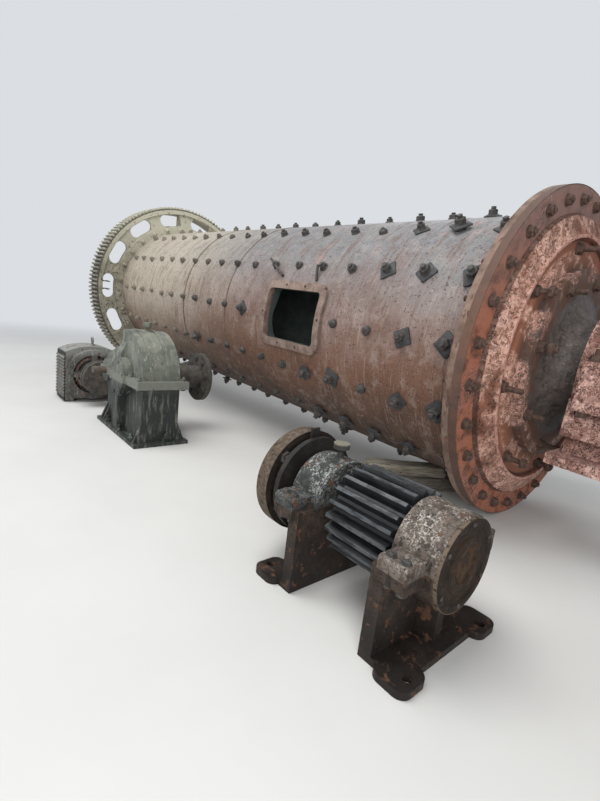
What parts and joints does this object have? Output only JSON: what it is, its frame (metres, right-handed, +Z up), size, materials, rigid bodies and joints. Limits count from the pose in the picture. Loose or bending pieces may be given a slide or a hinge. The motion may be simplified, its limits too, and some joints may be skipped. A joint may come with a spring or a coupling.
{
  "type": "ball mill set, dismantled and laid out",
  "caption": "Horizontal grinding drum with girth gear, flanged heads and trunnion bearings, laid on the ground beside its pinion stand, gear reducer and motor.",
  "frame": {"origin": "the middle of the set's footprint, on the ground that it stands on", "axes": "+X runs along the drum from its girth gear to its discharge end, +Z is up, and the drive units stand on the -Y side"},
  "size_m": [7.2652, 3.3363, 2.603],
  "materials": {
    "shell_rust": "rusted rolled plate with worn red primer",
    "flange_rust": "rusted, orange brown",
    "head_scale": "flaking pink-red primer over rust",
    "neck_iron": "dark oiled iron",
    "liner_steel": "dull dark wear plate",
    "gear_iron": "old grease and dust over iron",
    "bearing_scale": "flaking pink-red primer over rust",
    "bearing_metal": "dull white metal",
    "timber": "weathered, splintered timber",
    "stand_iron": "rusty iron with oil stains",
    "cover_rust": "rust brown turned cover",
    "pinion_iron": "dark greasy steel",
    "shaft_steel": "dull steel with a rust film",
    "coupling_rust": "rusted turned edge",
    "reducer_green": "faded grey-green paint, chipped and dusty",
    "motor_grey": "faded grey paint",
    "motor_dark": "dark worn paint"
  },
  "bodies": {
    "mill": {"shell_course_1": "shell_rust", "shell_course_2": "shell_rust", "shell_course_3_before_manhole": "shell_rust", "shell_course_3_beside_manhole": "shell_rust", "shell_course_3_after_manhole": "shell_rust", "shell_course_4": "shell_rust", "shell_liner": "liner_steel", "manhole_frame": "shell_rust", "gear_end_flange": "flange_rust", "discharge_flange": "flange_rust", "feed_head": "head_scale", "discharge_head": "head_scale", "feed_trunnion": "neck_iron", "discharge_trunnion": "neck_iron", "girth_gear_camera_half": "gear_iron", "girth_gear_far_half": "gear_iron", "chock_timbers": "timber", "pinion_pedestal_near": "stand_iron", "pinion_pedestal_far": "stand_iron", "pinion_cap_near": "stand_iron", "pinion_cap_far": "stand_iron", "pinion_end_cover": "cover_rust", "grease_cup": "stand_iron", "reducer_case": "reducer_green", "reducer_cover": "reducer_green", "reducer_end_covers": "reducer_green", "motor_body": "motor_grey", "motor_side_covers": "motor_grey", "motor_end_bell": "motor_dark"},
    "pinion_rotor": {"pinion": "pinion_iron", "pinion_shaft": "shaft_steel", "coupling_plate": "coupling_rust", "coupling_disc": "coupling_rust"},
    "output_rotor": {"low_speed_shaft": "shaft_steel", "output_coupling": "coupling_rust"},
    "input_rotor": {"high_speed_shaft": "shaft_steel"},
    "motor_rotor": {"motor_shaft": "shaft_steel", "motor_coupling": "coupling_rust"},
    "discharge_bearing": {"discharge_bearing_base": "bearing_scale", "discharge_bearing_cap": "bearing_scale", "discharge_bearing_bush": "bearing_metal"},
    "feed_bearing": {"feed_bearing_base": "bearing_scale", "feed_bearing_cap": "bearing_scale", "feed_bearing_bush": "bearing_metal"}
  },
  "joints": [
    {"name": "discharge_bearing_turn", "type": "hinge", "parent": "mill", "child": "discharge_bearing", "pos_m": [3.33204, 0.377, 1.0499], "axis": [0.9992, 0, -0.0403], "continuous": true},
    {"name": "feed_bearing_turn", "type": "hinge", "parent": "mill", "child": "feed_bearing", "pos_m": [-3.33654, 0.377, 1.31902], "axis": [0.9992, 0, -0.0403], "continuous": true},
    {"name": "pinion_spin", "type": "hinge", "parent": "mill", "child": "pinion_rotor", "pos_m": [3.236, -1.306, 0.373], "axis": [1, 0, 0], "continuous": true},
    {"name": "output_spin", "type": "hinge", "parent": "mill", "child": "output_rotor", "pos_m": [0.235, -1.306, 0.5], "axis": [0, 1, 0], "continuous": true},
    {"name": "input_spin", "type": "hinge", "parent": "mill", "child": "input_rotor", "pos_m": [-0.115, -1.306, 0.5], "axis": [0, 1, 0], "continuous": true},
    {"name": "motor_spin", "type": "hinge", "parent": "mill", "child": "motor_rotor", "pos_m": [-1.015, -1.383, 0.303], "axis": [1, 0, 0], "continuous": true}
  ],
  "couplings": [
    {"joint": "input_spin", "follows": "output_spin", "ratio": -5}
  ]
}
